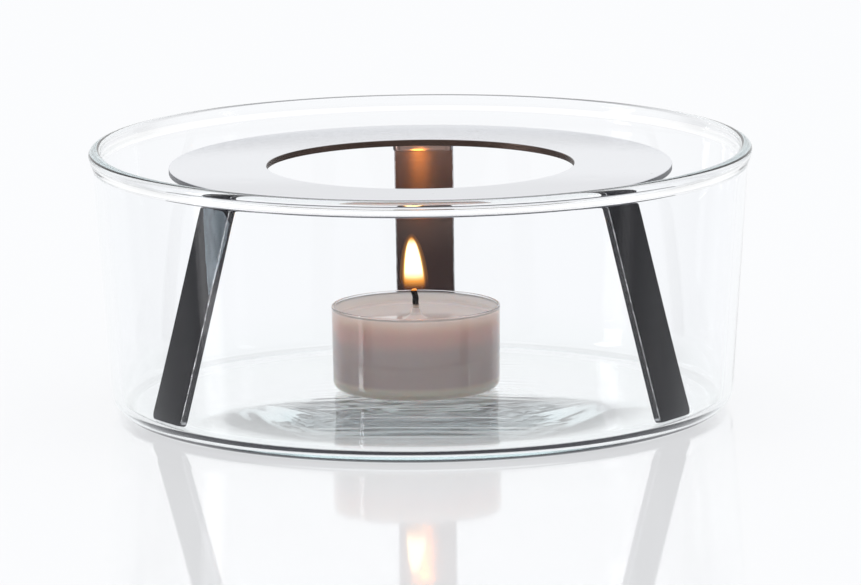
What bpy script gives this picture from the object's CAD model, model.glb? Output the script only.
# %% [markdown]
# # A glass tea warmer
# The object is a low glass bowl with a loose steel stand in it: a flat ring, on which a teapot
# rests, carried by three splayed strips. A tealight burns on the bowl's floor, under the ring's
# hole. The construction comes from a CAD model, which is loaded first and never moved. This
# lesson dresses it: every visible piece is worked out again as a fine, smooth surface with
# numpy, and gets a finish made of shader nodes.

# %% Load the CAD model as a fixed frame
import math

import bpy
import numpy as np
from mathutils import Matrix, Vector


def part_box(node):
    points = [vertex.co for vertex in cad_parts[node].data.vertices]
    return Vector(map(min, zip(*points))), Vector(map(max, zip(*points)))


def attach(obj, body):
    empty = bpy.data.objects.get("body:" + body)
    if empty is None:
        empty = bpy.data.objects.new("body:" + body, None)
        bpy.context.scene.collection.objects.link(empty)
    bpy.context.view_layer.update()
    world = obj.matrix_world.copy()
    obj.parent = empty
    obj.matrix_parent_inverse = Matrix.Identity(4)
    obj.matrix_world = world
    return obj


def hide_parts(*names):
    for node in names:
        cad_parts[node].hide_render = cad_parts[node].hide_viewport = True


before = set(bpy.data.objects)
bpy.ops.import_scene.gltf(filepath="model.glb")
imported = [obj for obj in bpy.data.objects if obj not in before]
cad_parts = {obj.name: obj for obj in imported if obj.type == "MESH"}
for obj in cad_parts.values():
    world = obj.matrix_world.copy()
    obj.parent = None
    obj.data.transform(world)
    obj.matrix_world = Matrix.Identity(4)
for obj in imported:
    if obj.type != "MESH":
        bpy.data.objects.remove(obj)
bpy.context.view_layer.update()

# %% [markdown]
# ## Sizes
# The CAD model has the main sizes, so they are read from it, and the finer ones are named where
# each piece is made. Blender counts in metres, but a maker thinks of glass and sheet steel in
# millimetres, so all shapes below are in millimetres and are brought to metres only when a mesh
# is made. Materials are in metres throughout, because their nodes read the finished mesh.

# %% Read the main sizes from the frame, in millimetres
MM = 0.001


def node_box(node):
    """Lowest and highest corner of a CAD piece, in millimetres."""
    return np.array(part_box(node)) / MM


bowl_box = node_box("glass_bowl")
ring_box = node_box("support_ring")
cup_box = node_box("tealight_cup")
rim_radius, bowl_height = bowl_box[1, 0], bowl_box[1, 2]
ring_radius, ring_top = ring_box[1, 0], ring_box[1, 2]
candle_x = cup_box[:, 0].mean()
cup_bottom, cup_lip = cup_box[:, 2]
cup_lip_radius = cup_box[1, 1]
print(f"bowl {2 * rim_radius:.1f} wide and {bowl_height:.1f} high, ring top at {ring_top:.1f},"
      f" candle {2 * cup_lip_radius:.1f} wide at x {candle_x:.2f}")

# %% [markdown]
# ## From a grid of points to a mesh
# Each piece is a grid: rows run along a profile or a path, columns run round it. A mesh could be
# built by hand with bmesh, point by point, but a grid lets numpy work out all points at once.
# Columns always wrap round. Rows either close too, as on a ring, or stop at two ends, which a
# fan of triangles closes, so no mesh is left open. The sign of the enclosed volume tells whether
# the faces look outwards, and they are turned round if they don't.

# %% Grid helpers


def straight(start, end, count):
    """Points of a section: evenly spaced from start towards end, without the end itself."""
    share = np.linspace(0, 1, count, endpoint=False)[:, None]
    return (1 - share) * np.asarray(start, float) + share * np.asarray(end, float)


def rounding(centre, radius, start, end, count):
    """Points of a section on an arc: centre plus radius times (cosine, sine) of an angle that
    goes evenly from start to end, in degrees, without the end itself."""
    angle = np.radians(np.linspace(start, end, count, endpoint=False))
    return np.asarray(centre) + radius * np.stack((np.cos(angle), np.sin(angle)), axis=1)


def turned(section, steps, centre=0.0):
    """Surface of revolution: each section point (radius, height) goes once round an upright axis
    at x = centre, so x = centre + radius cos(angle), y = radius sin(angle), z = height."""
    angle = np.linspace(0, 2 * math.pi, steps, endpoint=False)
    radius, height = section[:, 0, None], section[:, 1, None]
    return np.stack((centre + radius * np.cos(angle), radius * np.sin(angle),
                     np.broadcast_to(height, (len(section), steps))), axis=-1)


def grid_quads(rows, columns, close_rows):
    """Four corners for each cell between neighbouring rows and columns; columns wrap round."""
    row = np.arange(rows if close_rows else rows - 1)[:, None]
    column = np.arange(columns)[None, :]
    ahead, beside = (row + 1) % rows, (column + 1) % columns
    corners = np.broadcast_arrays(row * columns + column, row * columns + beside,
                                  ahead * columns + beside, ahead * columns + column)
    return np.stack(corners, axis=-1).reshape(-1, 4)


def end_fans(rows, columns):
    """Triangles from the first and last row to two extra points behind the grid."""
    column = np.arange(columns)
    beside = (column + 1) % columns
    last = (rows - 1) * columns
    first_pole = np.full(columns, rows * columns)
    first = np.stack((first_pole, beside, column), axis=1)
    final = np.stack((first_pole + 1, last + column, last + beside), axis=1)
    return np.concatenate((first, final))


def enclosed_volume(points, quads, fans):
    """Sum of the signed tetrahedra from the origin to every triangle."""
    triangles = np.concatenate((quads[:, [0, 1, 2]], quads[:, [0, 2, 3]], fans))
    a, b, c = (points[triangles[:, corner]] for corner in range(3))
    return np.einsum("ij,ij->i", a, np.cross(b, c)).sum() / 6


def make_piece(name, grid, material, body, close_rows=False, node=None, across=None):
    """A smooth closed mesh from a grid of points in millimetres, riding on a CAD body.

    across, where given, holds one (u, v) pair for each grid point and becomes the UV map.
    """
    rows, columns = grid.shape[:2]
    points = grid.reshape(-1, 3)
    quads = grid_quads(rows, columns, close_rows)
    fans = np.empty((0, 3), int)
    if not close_rows:
        points = np.concatenate((points, grid[0].mean(0)[None], grid[-1].mean(0)[None]))
        fans = end_fans(rows, columns)
    volume = enclosed_volume(points, quads, fans)
    if volume < 0:
        quads, fans = quads[:, ::-1], fans[:, ::-1]
    mesh = bpy.data.meshes.new(name)
    mesh.from_pydata(points * MM, [], quads.tolist() + fans.tolist())
    mesh.shade_smooth()
    mesh.materials.append(material)
    if across is not None:
        flat = across.reshape(-1, 2)
        flat = np.concatenate((flat, across[0].mean(0)[None], across[-1].mean(0)[None]))
        corner_points = np.empty(len(mesh.loops), np.int32)
        mesh.loops.foreach_get("vertex_index", corner_points)
        layer = mesh.uv_layers.new(name="strip")
        layer.data.foreach_set("uv", flat[corner_points].astype(np.float32).ravel())
    item = bpy.data.objects.new(name, mesh)
    bpy.context.scene.collection.objects.link(item)
    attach(item, body)
    if node:
        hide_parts(node)
    print(f"{name}: {rows} x {columns} points, {abs(volume) / 1000:.2f} cm3, rides on {body}")
    return item


print("straight runs, roundings and turned grids are ready")

# %% [markdown]
# ## Shader helpers
# A material is a small machine of nodes. Wiring it node by node takes many lines, so one helper
# adds a node, sets its values and plugs in other nodes. Effects that several finishes share are
# node groups with named sockets: how high up a point is, fine grain, scattered specks, and the
# tint that heat leaves on faces that look at the flame.

# %% Node helpers


def put(tree, kind, inputs=(), **settings):
    """Adds a node; inputs gives each socket a value, or the output of another node."""
    made = tree.nodes.new(kind)
    for name, setting in settings.items():
        setattr(made, name, setting)
    for socket, source in dict(inputs).items():
        if isinstance(source, bpy.types.NodeSocket):
            tree.links.new(source, made.inputs[socket])
        else:
            made.inputs[socket].default_value = source
    return made


def mix_colour(tree, mask, low, high):
    """Colour that goes from low, where the mask is 0, to high, where it is 1."""
    mix = put(tree, "ShaderNodeMix", data_type="RGBA")
    for number, source in ((0, mask), (6, low), (7, high)):
        if isinstance(source, bpy.types.NodeSocket):
            tree.links.new(source, mix.inputs[number])
        else:
            mix.inputs[number].default_value = (*source, 1.0) if number else source
    return mix.outputs[2]


def between(tree, value, low, high, to_low, to_high):
    """Value carried smoothly from the range low..high to the range to_low..to_high."""
    return put(tree, "ShaderNodeMapRange", {
        "Value": value, "From Min": low, "From Max": high, "To Min": to_low, "To Max": to_high},
        interpolation_type="SMOOTHSTEP").outputs["Result"]


def mix_value(tree, mask, low, high):
    """Value that goes from low, where the mask is 0, to high, where it is 1."""
    return put(tree, "ShaderNodeMix", {0: mask, 2: low, 3: high}, data_type="FLOAT").outputs[0]


def sum_of(tree, first, second, kind="ADD"):
    """Two values added, or joined by another kind of sum."""
    return put(tree, "ShaderNodeMath", {0: first, 1: second}, operation=kind).outputs[0]


def new_group(name, sockets_in, sockets_out):
    """An empty shader node group with its named sockets; returns it with its two end nodes."""
    group = bpy.data.node_groups.new(name, "ShaderNodeTree")
    for way, sockets in (("INPUT", sockets_in), ("OUTPUT", sockets_out)):
        for socket, kind in sockets.items():
            group.interface.new_socket(socket, in_out=way, socket_type=f"NodeSocket{kind}")
    return group, put(group, "NodeGroupInput").outputs, put(group, "NodeGroupOutput").inputs


def new_material(name):
    """A material with one Principled shader; returns it, its node tree and that shader."""
    material = bpy.data.materials.new(name)
    material.use_nodes = True
    tree = material.node_tree
    return material, tree, tree.nodes["Principled BSDF"]


def use_group(tree, group, **inputs):
    """Places a shared group in a material with its own values."""
    placed = put(tree, "ShaderNodeGroup", node_tree=group)
    for socket, source in inputs.items():
        if isinstance(source, bpy.types.NodeSocket):
            tree.links.new(source, placed.inputs[socket])
        else:
            placed.inputs[socket].default_value = source
    return placed.outputs


def place(tree):
    """Object coordinates, in metres."""
    return put(tree, "ShaderNodeTexCoord").outputs["Object"]


print("node helpers are ready")

# %% Shared effects: height, grain, specks and heat


def make_height_group():
    """Mask that rises from 0 at height Low to 1 at height High, in metres."""
    group, given, result = new_group(
        "height", {"Vector": "Vector", "Low": "Float", "High": "Float"}, {"Mask": "Float"})
    up = put(group, "ShaderNodeSeparateXYZ", {"Vector": given["Vector"]}).outputs["Z"]
    group.links.new(between(group, up, given["Low"], given["High"], 0.0, 1.0), result["Mask"])
    return group


def make_grain_group():
    """Noise stretched by a scale along each axis, from 0 to 1, as brushing or grinding leaves it."""
    group, given, result = new_group(
        "grain", {"Vector": "Vector", "Stretch": "Vector", "Detail": "Float"}, {"Value": "Float"})
    spread = put(group, "ShaderNodeVectorMath",
                 {0: given["Vector"], 1: given["Stretch"]}, operation="MULTIPLY").outputs[0]
    noise = put(group, "ShaderNodeTexNoise",
                {"Vector": spread, "Scale": 1.0, "Detail": given["Detail"], "Roughness": 0.6})
    group.links.new(noise.outputs["Fac"], result["Value"])
    return group


def make_speck_group():
    """Small round marks: 1 within a share Size of a cell, in the share Amount of all cells."""
    group, given, result = new_group(
        "specks", {"Vector": "Vector", "Scale": "Float", "Size": "Float", "Amount": "Float"},
        {"Mask": "Float"})
    cells = put(group, "ShaderNodeTexVoronoi",
                {"Vector": given["Vector"], "Scale": given["Scale"], "Randomness": 1.0})
    lot = put(group, "ShaderNodeSeparateColor", {"Color": cells.outputs["Color"]}).outputs["Red"]
    chosen = sum_of(group, lot, given["Amount"], "LESS_THAN")
    dot = between(group, cells.outputs["Distance"], 0.0, given["Size"], 1.0, 0.0)
    group.links.new(sum_of(group, dot, chosen, "MULTIPLY"), result["Mask"])
    return group


def make_heat_group():
    """Mask that is 1 where a face looks at the upright axis: minus the dot product of its normal
    with the level direction away from the axis."""
    group, given, result = new_group("heat", {"Vector": "Vector", "Normal": "Vector"}, {"Mask": "Float"})
    level = put(group, "ShaderNodeVectorMath", {0: given["Vector"], 1: (1, 1, 0)}, operation="MULTIPLY")
    away = put(group, "ShaderNodeVectorMath", {0: level.outputs[0]}, operation="NORMALIZE")
    facing = put(group, "ShaderNodeVectorMath", {0: away.outputs[0], 1: given["Normal"]},
                 operation="DOT_PRODUCT")
    group.links.new(between(group, facing.outputs["Value"], -0.8, -0.2, 1.0, 0.0), result["Mask"])
    return group


height_group, grain_group = make_height_group(), make_grain_group()
speck_group, heat_group = make_speck_group(), make_heat_group()
print("groups:", [group.name for group in bpy.data.node_groups])

# %% [markdown]
# ## The bowl
# The bowl is mould-blown glass: a rounded heel, a thin base that is domed in the middle, a wall
# that opens a little towards the top, and a rim that was melted round by a flame, so it is thicker
# than the wall. A rim finished by hand is seldom quite level, and this one sinks by less than a
# millimetre to the front. The floor isn't quite smooth either: faint waves break up what it
# mirrors. Glass is judged by its edges, so the section is drawn with true roundings, and the waves
# are real ones, one to three hundredths of a millimetre high, not a bump effect.

# %% The bowl's section and surface
bowl_steps = 320
wall_lean, wall_thickness = math.radians(4.0), 2.2
glass_wall = wall_thickness / math.cos(wall_lean)
bead_round, bead_foot, rim_dip = 1.5, 55.0, 0.85
foot_radius, foot_land = 65.0, 6.0
heel_round, inner_heel_round = 5.0, 2.6
base_glass, floor_crown, kick_up = 2.3, 2.4, 0.8
axis_gap = 0.4
wave_height, long_wave, short_wave = 0.012, 4.6, 3.1
wave_reach, wave_fade, wave_span = 56, 14, 23
bead_up = bowl_height - bead_round
land_inside = foot_radius - foot_land
heel_radius = foot_radius + heel_round * math.cos(wall_lean)
heel_up = heel_round * (1 - math.sin(wall_lean))


def wall_outside(height):
    """Outer radius of the straight wall at a height."""
    return heel_radius + (height - heel_up) * math.tan(wall_lean)


def wall_inside(height):
    """Inner radius of the straight wall at a height."""
    return wall_outside(height) - glass_wall


def swell(height, wall, bead):
    """Wall that swells into the rim: wall plus (bead - wall) times the squared sine of a quarter
    turn, counted from the bead's foot to its middle."""
    share = (height - bead_foot) / (bead_up - bead_foot)
    return wall(height) + (bead - wall(bead_up)) * np.sin(share * math.pi / 2) ** 2


def dome(radius, rise):
    """Height of a low dome: the rise times half of one plus the cosine of the radius, flat from
    the foot land outwards."""
    return rise * (1 + np.cos(np.minimum(radius / land_inside, 1) * math.pi)) / 2


def bowl_section():
    """Half section from the middle of the underside, round the rim, to the middle of the floor."""
    under = np.linspace(axis_gap, land_inside, 40, endpoint=False)
    rising = np.linspace(bead_foot, bead_up, 12, endpoint=False)
    falling = np.linspace(bead_up, bead_foot, 12, endpoint=False)
    inner_heel_up = base_glass + inner_heel_round
    inner_heel = wall_inside(inner_heel_up) - inner_heel_round / math.cos(wall_lean)
    lean = math.degrees(wall_lean)
    inner_start = (inner_heel + inner_heel_round * math.cos(wall_lean),
                   inner_heel_up - inner_heel_round * math.sin(wall_lean))
    floor = np.linspace(inner_heel, axis_gap, 120)
    return np.concatenate((
        np.stack((under, dome(under, kick_up)), axis=1),
        straight((land_inside, 0), (foot_radius, 0), 4),
        rounding((foot_radius, heel_round), heel_round, -90, -lean, 14),
        straight((heel_radius, heel_up), (wall_outside(bead_foot), bead_foot), 18),
        np.stack((swell(rising, wall_outside, rim_radius), rising), axis=1),
        rounding((rim_radius - bead_round, bead_up), bead_round, 0, 180, 24),
        np.stack((swell(falling, wall_inside, rim_radius - 2 * bead_round), falling), axis=1),
        straight((wall_inside(bead_foot), bead_foot), inner_start, 18),
        rounding((inner_heel, inner_heel_up), inner_heel_round, -lean, -90, 10),
        np.stack((floor, base_glass + dome(floor, floor_crown)), axis=1),
    )), len(floor)


def floor_waves(x, y):
    """Waves in the floor: crests that run from side to side, as sines of two lengths, bent a little
    and of uneven height. They fade out smoothly before the stand's feet, and to the sides by an
    exponential of the fourth power of x."""
    bent = y + 0.4 * np.sin(x / 14 + 0.6) + 0.15 * np.sin(x / 6 + y / 7)
    bent = bent + 0.05 * np.sin(x / 2.3 - y / 5)
    uneven = 1 + 0.35 * np.sin(x / 11 + y / 6) + 0.2 * np.sin(x / 5 - y / 4)
    waves = np.sin(bent * 2 * math.pi / long_wave)
    waves = waves + 0.45 * np.sin(bent * 2 * math.pi / short_wave + 1.2)
    fade = np.clip((wave_reach - np.hypot(x, y)) / wave_fade, 0, 1) * np.exp(-(x / wave_span) ** 4)
    return wave_height * waves * uneven * fade ** 2 * (3 - 2 * fade)


def rim_drop(y, z):
    """How far the rim sinks to the front: the dip times the square of the way to the front, and times
    the way up from the bead's foot."""
    forward = (1 - y / rim_radius) / 2
    return rim_dip * forward ** 2 * np.clip((z - bead_foot) / (bowl_height - bead_foot), 0, 1)


section, floor_rows = bowl_section()
bowl_grid = turned(section, bowl_steps)
bowl_grid[:, :, 2] -= rim_drop(bowl_grid[:, :, 1], bowl_grid[:, :, 2])
floor_x, floor_y = bowl_grid[-floor_rows:, :, 0], bowl_grid[-floor_rows:, :, 1]
bowl_grid[-floor_rows:, :, 2] += floor_waves(floor_x, floor_y)
print(f"bowl section: {len(section)} points, {floor_rows} of them on the floor")

# %% [markdown]
# Clear glass still has a colour where light goes a long way through it: the rim and the heel are a
# cool grey. The shader's own transmission bends the light, and a volume that absorbs a little red
# gives the colour by thickness. The foot ring is scuffed dark from standing on tables, most at the
# front. A glass rim has a thin dark line where it turns away from the eye and shows the dark of the
# room. This studio is all white, so Layer Weight gives that line, and it fades out to the sides.
# A faint haze of handling and slow waves of the wall come from noise.

# %% The bowl's glass
worn_inside, worn_outside = (0.0642, 0.0644), (0.0680, 0.0684)
rim_low, rim_high = 0.0562, 0.0577
dark_line, scuffed = (0.06, 0.06, 0.07), (0.006, 0.006, 0.008)


def make_bowl_glass():
    """Clear glass that absorbs a little, with a scuffed foot ring and a dark line along the rim."""
    material, tree, shader = new_material("bowl_glass")
    where = place(tree)
    axes = put(tree, "ShaderNodeSeparateXYZ", {"Vector": where}).outputs
    base = use_group(tree, height_group, Vector=where, Low=0.012, High=0.004)["Mask"]
    haze = use_group(tree, grain_group, Vector=where, Stretch=(38, 38, 60), Detail=3.0)["Value"]
    waves = use_group(tree, grain_group, Vector=where, Stretch=(25, 25, 9), Detail=0.0)["Value"]
    tint = mix_colour(tree, base, (0.992, 0.994, 1.0), (0.98, 0.992, 0.992))
    level = put(tree, "ShaderNodeVectorMath", {0: where, 1: (1, 1, 0)}, operation="MULTIPLY").outputs[0]
    radius = put(tree, "ShaderNodeVectorMath", {0: level}, operation="LENGTH").outputs["Value"]
    radius = sum_of(tree, radius, between(tree, axes["Y"], -0.064, -0.042, 0.0, 0.0016), "SUBTRACT")
    foot_ring = sum_of(tree, between(tree, radius, *worn_inside, 0.0, 1.0),
                       between(tree, radius, *worn_outside, 1.0, 0.0), "MULTIPLY")
    under = use_group(tree, height_group, Vector=where, Low=0.0018, High=0.0013)["Mask"]
    worn = sum_of(tree, foot_ring, under, "MULTIPLY")
    worn = sum_of(tree, worn, between(tree, axes["Y"], -0.030, 0.0, 1.0, 0.15), "MULTIPLY")
    rim = use_group(tree, height_group, Vector=where, Low=rim_low, High=rim_high)["Mask"]
    facing = put(tree, "ShaderNodeLayerWeight", {"Blend": 0.5}).outputs["Facing"]
    grazing = sum_of(tree, rim, between(tree, facing, 0.38, 0.52, 0.0, 0.95), "MULTIPLY")
    aside = sum_of(tree, axes["X"], 0.0, "ABSOLUTE")
    grazing = sum_of(tree, grazing, between(tree, aside, 0.036, 0.070, 1.0, 0.10), "MULTIPLY")
    edged = mix_colour(tree, grazing, tint, dark_line)
    tree.links.new(mix_colour(tree, worn, edged, scuffed), shader.inputs["Base Color"])
    tree.links.new(between(tree, haze, 0.55, 0.9, 0.0, 0.03), shader.inputs["Roughness"])
    bump = put(tree, "ShaderNodeBump", {"Height": waves, "Strength": 0.05, "Distance": 0.002})
    tree.links.new(bump.outputs["Normal"], shader.inputs["Normal"])
    shader.inputs["Transmission Weight"].default_value = 1.0
    shader.inputs["IOR"].default_value = 1.47
    shader.inputs["Specular Tint"].default_value = (0.2, 0.2, 0.21, 1.0)
    absorb = put(tree, "ShaderNodeVolumeAbsorption",
                 {"Color": (0.60, 0.79, 0.82, 1.0), "Density": 6.5})
    tree.links.new(absorb.outputs[0], tree.nodes["Material Output"].inputs["Volume"])
    return material


bowl = make_piece("blown_bowl", bowl_grid, make_bowl_glass(), "bowl",
                  node="glass_bowl")

# %% [markdown]
# ## The ring
# The ring is punched from sheet steel, its edges are rubbed off, and the strips below are spot
# welded to it, which leaves a shallow dimple above each. A turned section gives the sheet with
# rounded edges. The dimples are pressed into the top rows of the grid.

# %% The ring's surface
sheet, sheet_edge = 1.5, 0.25
ring_hole, ring_steps = 34.5, 360
leg_azimuths = {"leg_rear": 90.0, "leg_left": 210.0, "leg_right": 330.0}
weld_radius = 44.0
weld_depth, weld_width = 0.05, 2.4


def sheet_run(start, end, count, margin):
    """A straight run with one extra point close to each end, which keeps the flat shading flat."""
    start, end = np.asarray(start, float), np.asarray(end, float)
    along = (end - start) / np.linalg.norm(end - start) * margin
    return np.concatenate((start[None], straight(start + along, end - along, count),
                           (end - along)[None]))


def ring_section():
    """Rounded rectangle from the inner bottom corner, round the outside, back along the top."""
    low, high = ring_top - sheet + sheet_edge, ring_top - sheet_edge
    inner, outer = ring_hole + sheet_edge, ring_radius - sheet_edge
    margin = sheet_edge / 4
    return np.concatenate((
        sheet_run((inner, ring_top - sheet), (outer, ring_top - sheet), 12, margin),
        rounding((outer, low), sheet_edge, -90, 0, 5),
        sheet_run((ring_radius, low), (ring_radius, high), 2, margin),
        rounding((outer, high), sheet_edge, 0, 90, 5),
        sheet_run((outer, ring_top), (inner, ring_top), 48, margin),
        rounding((inner, high), sheet_edge, 90, 180, 5),
        sheet_run((ring_hole, high), (ring_hole, low), 2, margin),
        rounding((inner, low), sheet_edge, 180, 270, 5),
    ))


def weld_dimples(x, y):
    """Depth of the weld marks: a bell curve of the distance to each weld, added up."""
    angle = np.radians(list(leg_azimuths.values()))
    weld_x, weld_y = weld_radius * np.cos(angle), weld_radius * np.sin(angle)
    away = np.hypot(x[..., None] - weld_x, y[..., None] - weld_y)
    return weld_depth * np.exp(-(away / weld_width) ** 2).sum(-1)


ring_grid = turned(ring_section(), ring_steps)
on_top = np.isclose(ring_grid[..., 2], ring_top)
ring_grid[..., 2] -= on_top * weld_dimples(ring_grid[..., 0], ring_grid[..., 1])
print(f"ring: {on_top[:, 0].sum()} rows on top, welds pressed {weld_depth} mm deep")

# %% [markdown]
# Stainless sheet straight from the mill has a satin grain, tiny dark pits and a few scuffs. The
# grain is noise stretched along the rolling direction. It moves the roughness and a slight bump.
# The sheet is paler in a band across its middle than at the front and the back. The cut edges are
# darker than the faces, and the edge of the hole is browned by the flame.

# %% The ring's steel


def make_ring_steel():
    """Satin stainless sheet with pits, darker cut edges and a hole browned by heat."""
    material, tree, shader = new_material("ring_steel")
    coords = put(tree, "ShaderNodeTexCoord").outputs
    where = coords["Object"]
    heat = use_group(tree, heat_group, Vector=where, Normal=coords["Normal"])["Mask"]
    grain = use_group(tree, grain_group, Vector=where, Stretch=(500, 7000, 7000), Detail=2.0)["Value"]
    cloud = use_group(tree, grain_group, Vector=where, Stretch=(70, 70, 70), Detail=4.0)["Value"]
    pits = use_group(tree, speck_group, Vector=where, Scale=330.0, Size=0.16, Amount=0.12)["Mask"]
    depth = put(tree, "ShaderNodeSeparateXYZ", {"Vector": where}).outputs["Y"]
    band = between(tree, sum_of(tree, depth, 0.0, "ABSOLUTE"), 0.012, 0.034, 0.0, 1.0)
    steel = mix_colour(tree, cloud, (0.735, 0.755, 0.80), (0.775, 0.795, 0.84))
    steel = mix_colour(tree, band, steel, (0.635, 0.65, 0.69))
    pitted = mix_colour(tree, pits, steel, (0.20, 0.20, 0.21))
    upright = put(tree, "ShaderNodeSeparateXYZ", {"Vector": coords["Normal"]}).outputs["Z"]
    edge = between(tree, sum_of(tree, upright, 0.0, "ABSOLUTE"), 0.55, 0.2, 0.0, 0.9)
    cut = mix_colour(tree, edge, pitted, (0.10, 0.10, 0.108))
    tree.links.new(mix_colour(tree, heat, cut, (0.068, 0.047, 0.040)), shader.inputs["Base Color"])
    shader.inputs["Metallic"].default_value = 1.0
    satin = between(tree, grain, 0.2, 0.8, 0.05, 0.09)
    rough = sum_of(tree, satin, between(tree, edge, 0.0, 0.9, 0.0, 0.35))
    rough = sum_of(tree, rough, between(tree, cloud, 0.3, 0.7, -0.01, 0.02))
    tree.links.new(rough, shader.inputs["Roughness"])
    bump = put(tree, "ShaderNodeBump", {"Height": grain, "Strength": 0.04, "Distance": 0.0002})
    tree.links.new(bump.outputs["Normal"], shader.inputs["Normal"])
    return material


make_piece("pot_ring", ring_grid, make_ring_steel(), "stand", close_rows=True,
           node="support_ring")

# %% [markdown]
# ## The three strips
# Each leg is one strip of the same steel: a tab that lies under the ring, a bend, and a splayed
# leg cut square at its foot, with rounded corners. A cube could be bent with a modifier, but a
# rounded section carried along a path gives the true bend, and it hands over the way across and
# along the strip as a UV map, which the brushed finish needs.

# %% One strip along its path
leg_width, leg_corner, leg_bend = 13.6, 2.0, 1.5
leg_lean = math.radians(14.8)
leg_shoulder, tab_inset = 51.0, 1.8
ring_underside = ring_top - sheet
middle_bend = leg_bend + sheet / 2
bend_turn = math.pi / 2 - leg_lean
bend_across = leg_shoulder - (leg_bend + sheet) * math.tan(bend_turn / 2)
bend_up = ring_underside - sheet - leg_bend
tab_length = bend_across - ring_hole - tab_inset
bend_length = middle_bend * bend_turn
leg_length = (bend_up + leg_bend * math.sin(leg_lean) - base_glass) / math.cos(leg_lean)
strip_length = tab_length + bend_length + leg_length


def strip_path(along):
    """Middle line of the strip and its outward normal at a distance along it: level under the
    ring, then an arc, then straight down and outwards. Both are (outwards, up)."""
    turn = np.clip((along - tab_length) / middle_bend, 0, bend_turn)
    level = np.minimum(along - tab_length, 0)
    down = np.maximum(along - tab_length - bend_length, 0)
    normal = np.stack((np.sin(turn), np.cos(turn)), axis=1)
    run = np.stack((np.cos(turn), -np.sin(turn)), axis=1)
    line = np.array((bend_across, bend_up)) + middle_bend * normal + down[:, None] * run
    line[:, 0] += level
    return line, normal


def narrowed(distance, half, radius):
    """Half a width near a rounded end: a quarter circle's own equation within one radius of it."""
    missing = np.clip(radius - distance, 0, radius)
    return half - radius + np.sqrt(radius ** 2 - missing ** 2)


def strip_section():
    """Once round a rounded rectangle. Each point has four shares: of the half width and the half
    thickness up to the corner's centre, and of the corner's radius across and through. The
    second half is the first one turned by half a turn, so its shares are the negatives."""
    flat = np.concatenate(([-1.0, -0.985], np.linspace(-0.9, 0.9, 9), [0.985]))
    side = np.array((-1.0, -0.7, 0.7))
    first, second = (np.radians(np.linspace(start, start + 90, 6, endpoint=False))
                     for start in (-90, 0))
    face = np.stack((flat, flat * 0 - 1, flat * 0, flat * 0 - 1), axis=1)
    corner = np.stack((first * 0 + 1, first * 0 - 1, np.cos(first), np.sin(first)), axis=1)
    edge = np.stack((side * 0 + 1, side, side * 0 + 1, side * 0), axis=1)
    next_corner = np.stack((second * 0 + 1, second * 0 + 1, np.cos(second), np.sin(second)), axis=1)
    half = np.concatenate((face, corner, edge, next_corner))
    return np.concatenate((half, -half)).T


def strip_grid(azimuth):
    """The section carried along the path, narrowed at both ends, and turned about the bowl's axis.
    Returns the points, and for each its (across, along) in metres."""
    end = leg_corner * (1 - np.cos(np.linspace(0, math.pi / 2, 10)))
    along = np.concatenate((
        end, np.linspace(leg_corner, tab_length, 8)[1:-1],
        tab_length + np.linspace(0, bend_length, 12),
        np.linspace(tab_length + bend_length, strip_length - leg_corner, 28)[1:-1],
        strip_length - end[::-1]))
    from_end = np.minimum(along, strip_length - along)
    half_width = narrowed(from_end, leg_width / 2, leg_corner)[:, None]
    half_sheet = narrowed(from_end, sheet / 2, sheet_edge)[:, None]
    side, face, corner_across, corner_through = strip_section()
    across = (half_width - sheet_edge) * side + sheet_edge * corner_across
    through = (half_sheet - sheet_edge) * face + sheet_edge * corner_through
    line, normal = strip_path(along)
    outwards, up = (line[:, None, :] + normal[:, None, :] * through[..., None]).transpose(2, 0, 1)
    turn = math.radians(azimuth)
    points = np.stack((outwards * math.cos(turn) - across * math.sin(turn),
                       outwards * math.sin(turn) + across * math.cos(turn), up), axis=-1)
    return points, np.stack((across, np.broadcast_to(along[:, None], across.shape)), axis=-1) * MM


print(f"strip: tab {tab_length:.2f}, bend {bend_length:.2f}, leg {leg_length:.2f} mm along the middle")

# %% [markdown]
# The strips are brushed across their width, so the fine lines lie level and draw a reflection out
# into a tall streak: the shader's anisotropy does that, with its direction from the UV map. They
# are darker than the ring, and their long edges are rubbed bright in places. Where they look at the
# flame, the heat has turned the steel brown, as on the edge of the ring's hole: dark low down and
# paler towards the top. The strips also go into a collection of their own, so that the flame's
# lamp can be kept to them.

# %% The strips' steel
edge_inside, edge_outside = (0.00652, 0.00660), (0.00675, 0.00679)


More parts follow.
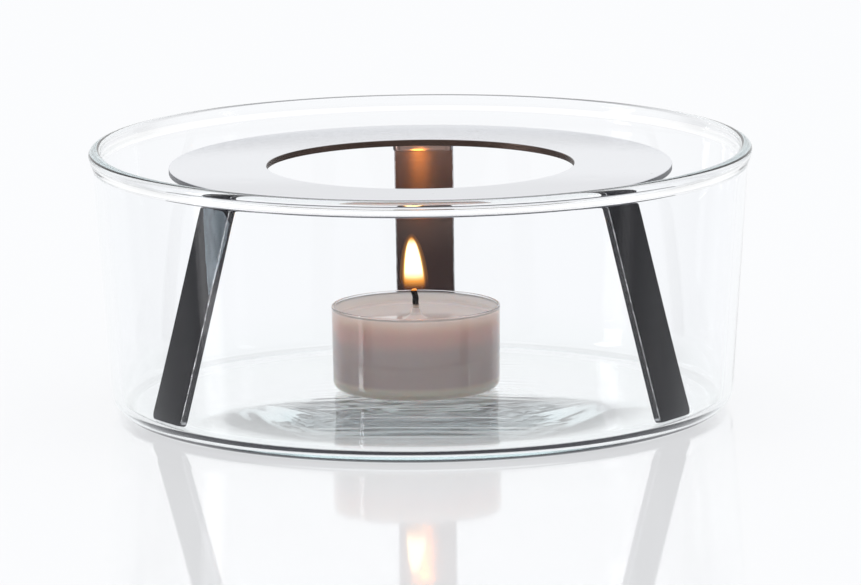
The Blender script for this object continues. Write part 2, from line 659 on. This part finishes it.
def make_leg_steel():
    """Dark brushed steel, browned where it looks at the flame and rubbed along its edges."""
    material, tree, shader = new_material("leg_steel")
    coords = put(tree, "ShaderNodeTexCoord").outputs
    where, flat = coords["Object"], coords["UV"]
    lines = use_group(tree, grain_group, Vector=flat, Stretch=(180, 7000, 1), Detail=2.0)["Value"]
    cloud = use_group(tree, grain_group, Vector=where, Stretch=(120, 120, 60), Detail=4.0)["Value"]
    specks = use_group(tree, speck_group, Vector=where, Scale=420.0, Size=0.14, Amount=0.05)["Mask"]
    heat = use_group(tree, heat_group, Vector=where, Normal=coords["Normal"])["Mask"]
    steel = mix_colour(tree, cloud, (0.030, 0.030, 0.0335), (0.0425, 0.0425, 0.047))
    brushed = mix_colour(tree, between(tree, lines, 0.3, 0.7, 0.0, 0.3), steel, (0.065, 0.065, 0.068))
    high = use_group(tree, height_group, Vector=where, Low=0.022, High=0.048)["Mask"]
    browned = mix_colour(tree, high, (0.052, 0.030, 0.026), (0.28, 0.195, 0.17))
    tinted = mix_colour(tree, sum_of(tree, heat, 0.95, "MULTIPLY"), brushed, browned)
    across = put(tree, "ShaderNodeSeparateXYZ", {"Vector": flat}).outputs["X"]
    aside = sum_of(tree, across, 0.0, "ABSOLUTE")
    edge = sum_of(tree, between(tree, aside, *edge_inside, 0.0, 1.0),
                  between(tree, aside, *edge_outside, 1.0, 0.0), "MULTIPLY")
    rubbed = use_group(tree, grain_group, Vector=flat, Stretch=(900, 420, 1), Detail=2.0)["Value"]
    edge = sum_of(tree, edge, between(tree, rubbed, 0.38, 0.62, 0.2, 0.75), "MULTIPLY")
    rubbed_steel = mix_colour(tree, edge, tinted, (0.66, 0.66, 0.68))
    speckled = mix_colour(tree, specks, rubbed_steel, (0.45, 0.43, 0.41))
    tree.links.new(speckled, shader.inputs["Base Color"])
    shader.inputs["Metallic"].default_value = 1.0
    tree.links.new(between(tree, lines, 0.25, 0.75, 0.115, 0.135), shader.inputs["Roughness"])
    shader.inputs["Specular Tint"].default_value = (0.25, 0.25, 0.27, 1.0)
    shader.inputs["Anisotropic"].default_value = 1.0
    shader.inputs["Anisotropic Rotation"].default_value = 0.25
    tangent = put(tree, "ShaderNodeTangent", direction_type="UV_MAP", uv_map="strip")
    tree.links.new(tangent.outputs["Tangent"], shader.inputs["Tangent"])
    bump = put(tree, "ShaderNodeBump", {"Height": lines, "Strength": 0.05, "Distance": 0.0001})
    tree.links.new(bump.outputs["Normal"], shader.inputs["Normal"])
    return material


leg_steel = make_leg_steel()
flame_lit = bpy.data.collections.new("flame_lit")
for leg, azimuth in leg_azimuths.items():
    leg_points, leg_across = strip_grid(azimuth)
    strip = make_piece(f"{leg}_strip", leg_points, leg_steel, "stand", node=leg,
                       across=leg_across)
    flame_lit.objects.link(strip)

# %% [markdown]
# ## The tealight's cup
# The candle sits in a clear moulded cup with a rounded heel, a hollow bottom and a thin lip. Its
# section is turned like the bowl's, about the candle's own axis, which stands a little to the
# left of the bowl's.

# %% The cup's surface
cup_foot, cup_wall, cup_heel = 18.8, 0.5, 2.0
cup_base, cup_recess, cup_land = 0.8, 0.5, 3.0
cup_floor = cup_recess + cup_base
cup_inner_heel = cup_heel - cup_base
cup_height = cup_lip - cup_bottom
lip_round = cup_wall / 2
candle_steps = 192


def cup_inside(height):
    """Inner radius of the tapering cup wall at a height above the cup's bottom."""
    share = (height - cup_heel) / (cup_height - cup_heel)
    return cup_foot + share * (cup_lip_radius - cup_foot) - cup_wall


def cup_section():
    """Half section from under the middle, over the lip, to the middle of the cup's floor."""
    foot = cup_foot - cup_heel
    lip_up = cup_height - lip_round
    turn_up = cup_floor + cup_inner_heel
    turn = cup_inside(turn_up) - cup_inner_heel
    return np.concatenate((
        straight((axis_gap, cup_recess), (foot - cup_land - cup_recess, cup_recess), 10),
        straight((foot - cup_land - cup_recess, cup_recess), (foot - cup_land, 0), 4),
        straight((foot - cup_land, 0), (foot, 0), 4),
        rounding((foot, cup_heel), cup_heel, -90, 0, 12),
        straight((cup_foot, cup_heel), (cup_lip_radius, lip_up), 24),
        rounding((cup_lip_radius - lip_round, lip_up), lip_round, 0, 180, 12),
        straight((cup_lip_radius - cup_wall, lip_up), (cup_inside(turn_up), turn_up), 24),
        rounding((turn, turn_up), cup_inner_heel, 0, -90, 10),
        straight((turn, cup_floor), (axis_gap, cup_floor), 12),
    )) + (0, cup_bottom)


print(f"cup: {cup_height:.2f} mm high, floor {cup_floor:.1f} mm up, wall {cup_wall} mm")

# %% [markdown]
# Clear plastic is like glass with a lower gloss: it carries fine scratches and mould haze. They
# come from the same grain group, stretched upright, because a cup leaves its mould that way. The lip
# and the heel are hazier than the wall, and the heel takes on some of the wax's warm colour.

# %% The cup's plastic


def make_cup_plastic():
    """Clear plastic with upright scratches, a few specks and a hazy lip and heel."""
    material, tree, shader = new_material("cup_plastic")
    where = place(tree)
    drawn = use_group(tree, grain_group, Vector=where, Stretch=(900, 900, 90), Detail=2.0)["Value"]
    specks = use_group(tree, speck_group, Vector=where, Scale=520.0, Size=0.16, Amount=0.02)["Mask"]
    heel = use_group(tree, height_group, Vector=where, Low=0.0064, High=0.0056)["Mask"]
    clear = mix_colour(tree, heel, (0.97, 0.965, 0.975), (0.98, 0.93, 0.89))
    tree.links.new(clear, shader.inputs["Base Color"])
    lip = use_group(tree, height_group, Vector=where, Low=0.0230, High=0.0233)["Mask"]
    rough = sum_of(tree, between(tree, drawn, 0.4, 0.9, 0.0, 0.05), specks)
    lip_haze = between(tree, lip, 0.0, 1.0, 0.0, 0.05)
    ends = sum_of(tree, lip_haze, between(tree, heel, 0.0, 1.0, 0.0, 0.2))
    tree.links.new(sum_of(tree, rough, ends), shader.inputs["Roughness"])
    bump = put(tree, "ShaderNodeBump", {"Height": drawn, "Strength": 0.04, "Distance": 0.0002})
    tree.links.new(bump.outputs["Normal"], shader.inputs["Normal"])
    shader.inputs["Transmission Weight"].default_value = 1.0
    shader.inputs["IOR"].default_value = 1.45
    return material


cup_grid = turned(cup_section(), candle_steps, candle_x)
make_piece("clear_cup", cup_grid, make_cup_plastic(), "tealight",
           node="tealight_cup")

# %% [markdown]
# ## The wax
# The wax fills the cup round the wick and its clip. Its top is molten: the pool has sunk a little and
# left a thin film on the cup's wall, and it climbs the wick in a slim neck. The section is a closed
# loop, because the wick's bore goes right through. The neck thins out with height like the
# meniscus that it is. Poured wax wets the plastic, so its side bites a tenth of a millimetre into
# the cup's wall: with a gap of air between them the edge would shine like a mirror.

# %% The wax's surface
wax_gap, wax_bite, wax_heel = 0.05, 0.1, 1.4
wax_level, film_top, film, film_foot = 15.9, 18.5, 0.3, 1.0
wick_radius, clip_radius, clip_sheet = 0.75, 6.0, 0.3
collar_radius, collar_height = 1.35, 4.0
neck_rise, neck_skin, neck_spread, neck_fall = 2.3, 0.12, 1.9, 0.62


def neck_radius(rise):
    """Radius of the neck above the pool: the wick's, plus a skin, plus a spread that falls off as
    an exponential of the rise."""
    return wick_radius + neck_skin + neck_spread * np.exp(-rise / neck_fall)


def wax_section():
    """Closed section: bottom, heel, side, film, pool, neck, and down the bore round the clip."""
    bottom = cup_floor + wax_gap
    heel_up = cup_floor - wax_bite + wax_heel
    heel_across = cup_inside(heel_up) + wax_bite - wax_heel
    edge_across = cup_inside(film_top) + wax_bite
    pool_edge = cup_inside(wax_level) - film
    bore, disc, collar = (radius + wax_gap for radius in (wick_radius, clip_radius, collar_radius))
    rise = np.linspace(0, neck_rise, 24, endpoint=False)
    top = wax_level + neck_rise
    return np.concatenate((
        straight((disc, heel_up - wax_heel), (heel_across, heel_up - wax_heel), 8),
        rounding((heel_across, heel_up), wax_heel, -90, 0, 8),
        straight((heel_across + wax_heel, heel_up), (edge_across, film_top), 24),
        straight((edge_across, film_top), (pool_edge, wax_level + film_foot), 6),
        rounding((pool_edge - film_foot, wax_level + film_foot), film_foot, 0, -90, 8),
        straight((pool_edge - film_foot, wax_level), (neck_radius(0), wax_level), 30),
        np.stack((neck_radius(rise), wax_level + rise), axis=1),
        straight((neck_radius(neck_rise), top), (bore, top), 2),
        straight((bore, top), (bore, bottom + collar_height), 6),
        straight((bore, bottom + collar_height), (collar, bottom + collar_height), 2),
        straight((collar, bottom + collar_height), (collar, bottom + clip_sheet), 4),
        straight((collar, bottom + clip_sheet), (disc, bottom + clip_sheet), 4),
        straight((disc, bottom + clip_sheet), (disc, heel_up - wax_heel), 2),
    )) + (0, cup_bottom)


pool_up = cup_bottom + wax_level
print(f"wax: pool at {pool_up:.2f} mm, neck to {pool_up + neck_rise:.2f} mm")

# %% [markdown]
# Wax scatters light inside, so the shader's subsurface does most of the work. The flame warms the
# upper third, where the wax is soft and pinkish. Below it is cooler and greyer, and palest at the
# foot, where light comes in through the cup's heel. The molten pool is shiny and rosier towards the
# front, while the film on the cup's wall and the set wax are dull.

# %% The wax's finish


def make_wax():
    """Wax that scatters light, cool below and rosy above, with a shiny pool and a dull film."""
    material, tree, shader = new_material("wax")
    coords = put(tree, "ShaderNodeTexCoord").outputs
    where = coords["Object"]
    cloud = use_group(tree, grain_group, Vector=where, Stretch=(160, 160, 220), Detail=3.0)["Value"]
    warm = use_group(tree, height_group, Vector=where, Low=0.0148, High=0.0182)["Mask"]
    cool = mix_colour(tree, cloud, (0.76, 0.657, 0.63), (0.81, 0.707, 0.68))
    rosy = mix_colour(tree, cloud, (0.92, 0.705, 0.655), (0.95, 0.75, 0.70))
    foot = use_group(tree, height_group, Vector=where, Low=0.0078, High=0.0066)["Mask"]
    body = mix_colour(tree, foot, mix_colour(tree, warm, cool, rosy), (1.0, 0.90, 0.80))
    upward = put(tree, "ShaderNodeSeparateXYZ", {"Vector": coords["Normal"]}).outputs["Z"]
    inward = use_group(tree, heat_group, Vector=where, Normal=coords["Normal"])["Mask"]
    high = use_group(tree, height_group, Vector=where, Low=0.0195, High=0.0200)["Mask"]
    on_top = between(tree, upward, 0.3, 0.7, 0.0, 1.0)
    molten = sum_of(tree, sum_of(tree, on_top, inward, "MAXIMUM"), high, "MULTIPLY")
    level = sum_of(tree, on_top, high, "MULTIPLY")
    depth = put(tree, "ShaderNodeSeparateXYZ", {"Vector": where}).outputs["Y"]
    to_back = between(tree, depth, -0.014, 0.010, 0.0, 1.0)
    pool = mix_colour(tree, to_back, (0.63, 0.50, 0.47), (0.62, 0.57, 0.57))
    melt = mix_colour(tree, level, (0.68, 0.63, 0.635), pool)
    tree.links.new(mix_colour(tree, molten, body, melt), shader.inputs["Base Color"])
    tree.links.new(between(tree, level, 0.0, 1.0, 0.5, 0.04), shader.inputs["Roughness"])
    shader.inputs["Subsurface Weight"].default_value = 0.6
    shader.inputs["Subsurface Radius"].default_value = (1.0, 0.6, 0.45)
    shader.inputs["Subsurface Scale"].default_value = 0.003
    bump = put(tree, "ShaderNodeBump", {"Height": cloud, "Strength": 0.05, "Distance": 0.0004})
    tree.links.new(bump.outputs["Normal"], shader.inputs["Normal"])
    return material


wax_grid = turned(wax_section(), candle_steps, candle_x)
make_piece("poured_wax", wax_grid, make_wax(), "tealight", close_rows=True,
           node="tealight_wax")

# %% [markdown]
# ## The wick and its clip
# The wick is braided cotton: pale where the wax soaks it, black and a little thinner and lumpy
# where it burns, and curled over at the top with a glowing end. A round section is carried along
# a line that goes straight up and then round an arc. The strands are a twisted ripple of the
# radius. The tin clip that holds it is hidden in the wax, so its CAD shape stays and only gets a
# stamped finish.

# %% The wick's surface
wick_foot = cup_bottom + cup_floor
wick_straight, curl_radius, curl_turn = 18.2, 8.6, math.radians(20)
wick_top = wick_foot + wick_straight + curl_radius * math.sin(curl_turn)
wick_hidden, wick_end = 14, 0.45
burn_start, burn_run, burnt_loss, lump_size = 23.2, 3, 0.04, 0.05
strand_count, strand_pitch, strand_depth = 3, 2.2, 0.06


def wick_grid():
    """Tube: a circle carried along the wick's line. Its radius is a sine of the angle and the way
    along, like twisted strands. The burnt part loses a little and gets lumps, and the end is round."""
    length = wick_straight + curl_radius * curl_turn
    along = np.concatenate((np.linspace(0, wick_hidden, 20, endpoint=False),
                            np.linspace(wick_hidden, length, 70)))[:, None]
    angle = np.linspace(0, 2 * math.pi, 30, endpoint=False)
    turn = np.maximum(along - wick_straight, 0) / curl_radius
    middle_x = candle_x + curl_radius * (np.cos(turn) - 1)
    middle_z = wick_foot + np.minimum(along, wick_straight) + curl_radius * np.sin(turn)
    strands = np.sin(strand_count * (angle - along * 2 * math.pi / strand_pitch / strand_count))
    lumps = np.sin(along * 3.1 + 2 * np.sin(angle)) * lump_size
    burnt = np.clip((middle_z - burn_start) / burn_run, 0, 1)
    radius = wick_radius * (1.0 - burnt_loss * burnt + strand_depth * (strands - 1) + lumps * burnt)
    radius = radius * narrowed(along[-1] - along, 1.0, wick_end)
    return np.stack((middle_x + radius * np.cos(angle) * np.cos(turn),
                     np.broadcast_to(radius * np.sin(angle), radius.shape),
                     middle_z + radius * np.cos(angle) * np.sin(turn)), axis=-1)


print(f"wick: from {wick_foot:.2f} to {wick_top:.2f} mm")

# %% The wick's cotton and the clip's tinplate


def make_wick_cotton():
    """Waxed cotton below, char above, and an ember at the tip."""
    material, tree, shader = new_material("wick_cotton")
    where = place(tree)
    fibre = use_group(tree, grain_group, Vector=where, Stretch=(4500, 4500, 1800), Detail=3.0)["Value"]
    burnt = use_group(tree, height_group, Vector=where, Low=0.0230, High=0.0238)["Mask"]
    ember = use_group(tree, height_group, Vector=where, Low=0.0266, High=0.0270)["Mask"]
    pale = mix_colour(tree, fibre, (0.52, 0.42, 0.35), (0.66, 0.55, 0.47))
    char = mix_colour(tree, fibre, (0.003, 0.0025, 0.0025), (0.014, 0.010, 0.009))
    tree.links.new(mix_colour(tree, burnt, pale, char), shader.inputs["Base Color"])
    tree.links.new(between(tree, burnt, 0.0, 1.0, 0.35, 0.85), shader.inputs["Roughness"])
    glow = mix_colour(tree, ember, (0.0, 0.0, 0.0), (1.0, 0.32, 0.05))
    tree.links.new(glow, shader.inputs["Emission Color"])
    shader.inputs["Emission Strength"].default_value = 1.6
    shader.inputs["Specular IOR Level"].default_value = 0.15
    bump = put(tree, "ShaderNodeBump", {"Height": fibre, "Strength": 0.5, "Distance": 0.0001})
    tree.links.new(bump.outputs["Normal"], shader.inputs["Normal"])
    return material


def make_tinplate():
    """Plain tinplate with a fine grain."""
    material, tree, shader = new_material("clip_tinplate")
    grain = use_group(tree, grain_group, Vector=place(tree), Stretch=(900, 900, 900), Detail=3.0)["Value"]
    tin = mix_colour(tree, grain, (0.55, 0.55, 0.56), (0.72, 0.72, 0.71))
    tree.links.new(tin, shader.inputs["Base Color"])
    shader.inputs["Metallic"].default_value = 1.0
    tree.links.new(between(tree, grain, 0.3, 0.7, 0.25, 0.45), shader.inputs["Roughness"])
    return material


make_piece("braided_wick", wick_grid(), make_wick_cotton(), "tealight",
           node="wick")
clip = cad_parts["wick_clip"]
clip.data.materials.clear()
clip.data.materials.append(make_tinplate())

# %% [markdown]
# ## The flame
# A candle flame is a thin hot skin round a dark, nearly clear foot: white and yellow above, orange
# and see-through below. A volume would be the physical way, but it is slow and noisy, and can't be
# handed over as a mesh. Four nested skins, each with its own glow and with an alpha that fades
# in from the foot, give the same soft change from orange rim to white core. They throw no shadow,
# as a flame doesn't.

# %% The flame's skins
flame_foot, flame_tip, flame_radius = 27.2, 38.75, 2.4
flame_taper, flame_undercut = 0.55, 0.5
flame_x, flame_lean = -0.2, -0.6


def flame_grid(share):
    """Skin of revolution about a leaning line: above the foot, radius = full radius times
    (1 - squared rise) to the power of the taper; below it, a half ellipse closes the skin. A share
    under 1 shrinks the skin towards the line and lowers its tip."""
    under = np.linspace(-math.pi / 2, 0, 10, endpoint=False)[1:]
    left = np.linspace(1, 0, 60, endpoint=False) ** 2.5
    height = (flame_tip - flame_foot) * (0.8 + 0.2 * share)
    rise = np.concatenate((np.sin(under) * flame_undercut / height, 1 - left))
    round_off = np.concatenate((np.cos(under), (1 - (1 - left) ** 2) ** flame_taper))
    angle = np.linspace(0, 2 * math.pi, 48, endpoint=False)
    radius = (flame_radius * share * round_off)[:, None]
    middle = candle_x + flame_x + flame_lean * np.maximum(rise, 0)[:, None]
    up = np.broadcast_to(flame_foot + rise[:, None] * height, (len(rise), len(angle)))
    return np.stack((middle + radius * np.cos(angle), radius * np.sin(angle), up), axis=-1)


def make_flame_skin(name, colours, glow, alpha):
    """Glow that goes through three colours with height, on a skin that is clear at the foot."""
    material, tree, shader = new_material(name)
    where = place(tree)
    flicker = use_group(tree, grain_group, Vector=where, Stretch=(700, 700, 250), Detail=1.0)["Value"]
    warm = use_group(tree, height_group, Vector=where, Low=0.0274, High=0.0296)["Mask"]
    hot = use_group(tree, height_group, Vector=where, Low=0.0290, High=0.0314)["Mask"]
    fade = use_group(tree, height_group, Vector=where, Low=0.0266, High=0.0300)["Mask"]
    low_colour, middle_colour, high_colour = colours
    tip = use_group(tree, height_group, Vector=where, Low=0.0370, High=0.0388)["Mask"]
    tint = mix_colour(tree, hot, mix_colour(tree, warm, low_colour, middle_colour), high_colour)
    tint = mix_colour(tree, tip, tint, middle_colour)
    tree.links.new(tint, shader.inputs["Emission Color"])
    veil = sum_of(tree, fade, between(tree, flicker, 0.2, 0.8, alpha * 0.92, alpha), "MULTIPLY")
    tree.links.new(veil, shader.inputs["Alpha"])
    shader.inputs["Emission Strength"].default_value = glow
    shader.inputs["Base Color"].default_value = (0.0, 0.0, 0.0, 1.0)
    shader.inputs["Roughness"].default_value = 1.0
    shader.inputs["Specular IOR Level"].default_value = 0.0
    return material


# name, share of the full radius, colours from foot to top, glow, alpha
flame_skins = (
    ("flame_halo", 1.35, ((0.25, 0.08, 0.02), (0.7, 0.25, 0.05), (1.0, 0.42, 0.10)), 0.9, 0.07),
    ("flame_rim", 1.12, ((0.35, 0.10, 0.02), (0.9, 0.30, 0.05), (1.0, 0.40, 0.06)), 0.9, 0.16),
    ("flame_body", 1.0, ((0.30, 0.09, 0.02), (0.8, 0.32, 0.05), (1.0, 0.62, 0.18)), 1.4, 0.5),
    ("flame_core", 0.9, ((0.06, 0.018, 0.004), (0.26, 0.104, 0.016), (1.0, 0.78, 0.48)), 5.0, 1.0),
)
for name, share, colours, glow, alpha in flame_skins:
    skin = make_piece(name, flame_grid(share), make_flame_skin(name, colours, glow, alpha), "tealight")
    skin.visible_shadow = False

# %% [markdown]
# ## The studio
# The warmer stands on a glossy white table in front of white. The floor is one plain sheet with a
# polished finish, so it mirrors the legs and the candle faintly. A shadow would make the glass look
# heavy, so most of the floor is plain white to the camera, to metal and to glass, and a weak matt
# share keeps the shadow.

# %% Floor
floor_reach = 6.0
floor_white = (0.955, 0.965, 0.985, 1.0)
plain_share, polish_share = 0.86, 0.26


def make_floor():
    """One square sheet: a matt white that keeps the shadow, part of it shown as plain white to the
    camera, metal and glass, under a weak polish."""
    corner = floor_reach * np.array(((-1, -1, 0), (1, -1, 0), (1, 1, 0), (-1, 1, 0)), float)
    mesh = bpy.data.meshes.new("studio_floor")
    mesh.from_pydata(corner, [], [(0, 1, 2, 3)])
    material = bpy.data.materials.new("polished_white")
    material.use_nodes = True
    tree = material.node_tree
    tree.nodes.clear()
    cloud = use_group(tree, grain_group, Vector=place(tree), Stretch=(3, 3, 3), Detail=2.0)["Value"]
    white = mix_colour(tree, cloud, (0.88, 0.89, 0.905), (0.90, 0.905, 0.915))
    matt = put(tree, "ShaderNodeBsdfDiffuse", {"Color": white}).outputs[0]
    rays = put(tree, "ShaderNodeLightPath").outputs
    plain = put(tree, "ShaderNodeEmission", {"Color": floor_white}).outputs[0]
    polish = put(tree, "ShaderNodeBsdfGlossy", {
        "Color": (1, 1, 1, 1), "Roughness": between(tree, cloud, 0.3, 0.7, 0.04, 0.05)}).outputs[0]
    by_glass = sum_of(tree, rays["Is Glossy Ray"], rays["Is Transmission Ray"])
    seen = sum_of(tree, rays["Is Camera Ray"], by_glass)
    share = sum_of(tree, sum_of(tree, seen, 1.0, "MINIMUM"), plain_share, "MULTIPLY")
    shown = put(tree, "ShaderNodeMixShader", {0: share, 1: matt, 2: plain})
    polished = put(tree, "ShaderNodeMixShader", {0: polish_share, 1: shown.outputs[0], 2: polish})
    put(tree, "ShaderNodeOutputMaterial", {"Surface": polished.outputs[0]})
    mesh.materials.append(material)
    floor = bpy.data.objects.new("studio_floor", mesh)
    bpy.context.scene.collection.objects.link(floor)
    return floor


studio_floor = make_floor()
print("floor:", studio_floor.dimensions[:2])

# %% [markdown]
# The world is white to the camera and through glass, and lights evenly what is matt. In mirror
# images it has a dimmer card on each side at the back and a slightly dimmer room in front, so that
# steel and glass have something to show. Photographers set such cards round glass by hand.

# %% World
even_light, glass_white = 0.92, 1.04
card_dark, room_level = 0.35, 0.9


def make_world():
    """White for the camera and through glass; in mirror images the same white, with a dimmer card on
    each side and a dimmer room in front; an even level for everything matt."""
    world = bpy.data.worlds.new("studio")
    bpy.context.scene.world = world
    world.use_nodes = True
    world.cycles.sampling_method = "NONE"
    tree = world.node_tree
    tree.nodes.clear()
    axes = put(tree, "ShaderNodeSeparateXYZ",
               {"Vector": put(tree, "ShaderNodeTexCoord").outputs["Generated"]}).outputs
    aside = sum_of(tree, axes["X"], 0.0, "ABSOLUTE")
    card = sum_of(tree, between(tree, aside, 0.74, 0.80, 0.0, 1.0),
                  between(tree, axes["Y"], 0.10, 0.22, 0.0, 1.0), "MULTIPLY")
    behind = between(tree, axes["Y"], -0.1, 0.1, room_level, 1.0)
    rays = put(tree, "ShaderNodeLightPath").outputs
    mirrored = sum_of(tree, rays["Glossy Depth"], 1.0, "MINIMUM")
    matt = sum_of(tree, rays["Diffuse Depth"], 1.0, "MINIMUM")
    level = mix_value(tree, mirrored, glass_white, mix_value(tree, card, behind, card_dark))
    level = mix_value(tree, matt, level, even_light)
    level = mix_value(tree, rays["Is Camera Ray"], level, 1.0)
    background = put(tree, "ShaderNodeBackground", {"Strength": level})
    background.inputs["Color"].default_value = (1.0, 1.0, 1.0, 1.0)
    put(tree, "ShaderNodeOutputWorld", {"Surface": background.outputs[0]})


make_world()
print("world:", bpy.context.scene.world.name)

# %% [markdown]
# A large soft lamp hangs above, and a tall strip lamp on each side draws a line of light down the
# glass and the legs. Two small lights are kept to one thing each by light linking: a pale card on
# the table, which the bowl's wall mirrors, and the lamp inside the flame, which puts the warm
# streak on the strips. That lamp rides on the candle, so it goes up with it.

# %% Card and lamps
glow_energy, glow_size, glow_up, glow_aside = 0.07, 0.0014, 0.033, -0.4


def hide_from(item, *rays):
    """Takes an object out of the named kinds of rays."""
    for ray in rays:
        setattr(item, f"visible_{ray}", False)


def make_card():
    """A small pale blue sheet on the floor, front left, which only mirror images show: the bowl's
    front wall mirrors it as a wedge of light across the left strip."""
    card_lit = bpy.data.collections.new("card_lit")
    card_lit.objects.link(bowl)
    corners = ((-0.236, -0.0815, 0.002), (-0.215, -0.129, 0.002), (-0.161, -0.0708, 0.002))
    mesh = bpy.data.meshes.new("light_card")
    mesh.from_pydata(corners, [], [(0, 1, 2)])
    material = bpy.data.materials.new("light_card")
    material.use_nodes = True
    tree = material.node_tree
    tree.nodes.clear()
    uneven = use_group(tree, grain_group, Vector=place(tree), Stretch=(20, 90, 1), Detail=1.0)["Value"]
    strength = between(tree, uneven, 0.35, 0.65, 9.0, 14.0)
    glow = put(tree, "ShaderNodeEmission", {"Color": (0.73, 0.89, 1.0, 1.0), "Strength": strength})
    clear = put(tree, "ShaderNodeBsdfTransparent")
    both = put(tree, "ShaderNodeAddShader", {0: clear.outputs[0], 1: glow.outputs[0]})
    put(tree, "ShaderNodeOutputMaterial", {"Surface": both.outputs[0]})
    mesh.materials.append(material)
    card = bpy.data.objects.new("light_card", mesh)
    bpy.context.scene.collection.objects.link(card)
    hide_from(card, "camera", "diffuse", "transmission", "shadow")
    card.light_linking.receiver_collection = card_lit


def make_lamp(name, place_at, turn, size, energy):
    """A rectangular lamp that the camera doesn't see; only the one above is seen by matt things."""
    lamp = bpy.data.lights.new(name, "AREA")
    lamp.shape, lamp.energy = "RECTANGLE", energy
    lamp.size, lamp.size_y = size
    item = bpy.data.objects.new(name, lamp)
    item.location = place_at
    item.rotation_euler = [math.radians(angle) for angle in turn]
    hide_from(item, "camera")
    item.visible_diffuse = name == "overhead"
    bpy.context.scene.collection.objects.link(item)


def make_flame_lamp():
    """A very small warm lamp in the flame, seen only as a streak of gloss on the strips."""
    lamp = bpy.data.lights.new("flame_glow", "POINT")
    lamp.energy, lamp.shadow_soft_size = glow_energy, glow_size
    lamp.color = (1.0, 0.38, 0.05)
    item = bpy.data.objects.new("flame_glow", lamp)
    item.location = ((candle_x + glow_aside) * MM, 0, glow_up)
    hide_from(item, "camera", "diffuse", "transmission")
    item.light_linking.receiver_collection = flame_lit
    bpy.context.scene.collection.objects.link(item)
    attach(item, "tealight")


make_card()
# name, place, turn in degrees, size, energy
lamps = (
    ("overhead", (0.0, 0.1, 1.5), (0, 0, 0), (1.2, 1.2), 5.0),
    ("left_strip", (-1.1, -0.19, 0.25), (90, 0, -80), (0.18, 0.9), 4.2),
    ("right_strip", (1.1, -0.25, 0.25), (90, 0, 77), (0.10, 0.9), 0.6),
)
for lamp in lamps:
    make_lamp(*lamp)
make_flame_lamp()
print("lamps:", [lamp[0] for lamp in lamps], "and the one in the flame")

# %% [markdown]
# ## The camera
# A long lens from almost two metres away, a little above the rim: the picture's lines are nearly
# parallel, and the rim is a slim ellipse. The numbers were solved from the outlines of the rim,
# the ring, the legs and the candle in the picture.

# %% Camera
picture_width = 861
camera_away, camera_up = 1.8, 0.345778
focal_pixels = 8119.69
look_down, look_aside, tilt, walk_round = 0.17583, 0.00109, 0.01074, 0.01541


def make_camera():
    """Turned about the object by walk_round, stepped back and up, aimed down, then tilted."""
    data = bpy.data.cameras.new("camera")
    data.sensor_width = 36.0
    data.lens = data.sensor_width * focal_pixels / picture_width
    data.clip_end = 50.0
    camera = bpy.data.objects.new("camera", data)
    bpy.context.scene.collection.objects.link(camera)
    camera.matrix_world = (
        Matrix.Rotation(walk_round, 4, "Z")
        @ Matrix.Translation((0, -camera_away, camera_up))
        @ Matrix.Rotation(-look_aside, 4, "Z")
        @ Matrix.Rotation(math.pi / 2 - look_down, 4, "X")
        @ Matrix.Rotation(-tilt, 4, "Z"))
    bpy.context.scene.camera = camera
    return camera


camera = make_camera()
bpy.context.scene.view_settings.view_transform = "Standard"
cycles = bpy.context.scene.cycles
cycles.max_bounces = 32
cycles.transmission_bounces = 32
cycles.glossy_bounces = 24
cycles.transparent_max_bounces = 16
print(f"camera: {camera.data.lens:.1f} mm lens, {camera_away} m away and {camera_up:.2f} m up")
